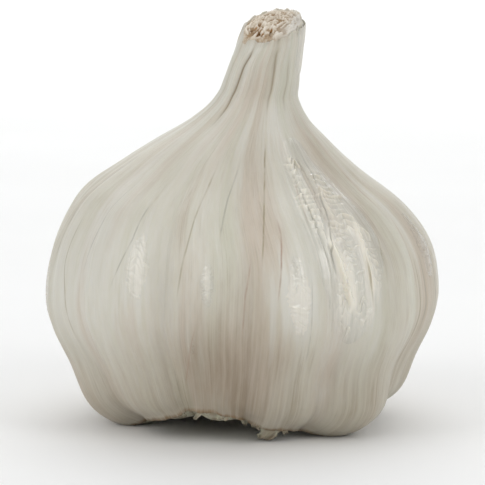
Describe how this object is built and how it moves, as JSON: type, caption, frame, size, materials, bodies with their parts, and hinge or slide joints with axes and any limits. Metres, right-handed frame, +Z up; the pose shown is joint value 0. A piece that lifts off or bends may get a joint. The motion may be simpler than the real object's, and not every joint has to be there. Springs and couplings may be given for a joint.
{
  "type": "garlic bulb",
  "caption": "Whole trimmed garlic bulb with lobed papery skin, a short cut neck full of leaf sheath ends, and a root plate with trimmed roots underneath.",
  "frame": {"origin": "on the surface that the bulb rests on, under the middle of the bulb", "axes": "+Z up along the bulb and its neck, -Y the front, +X right as seen from the front"},
  "size_m": [0.0646, 0.065, 0.0679],
  "materials": {
    "skin": "dry papery skin, ivory with grey-green and pinkish streaks, satin along the ribs",
    "sheath_ends": "dry fibrous cut ends, matte tan to orange-brown",
    "root_plate": "dry corky plate with trimmed roots, matte and a little earthy"
  },
  "bodies": {
    "root": {"bulb": "skin", "neck_sheath_ends": "sheath_ends", "root_plate": "root_plate"}
  },
  "joints": []
}
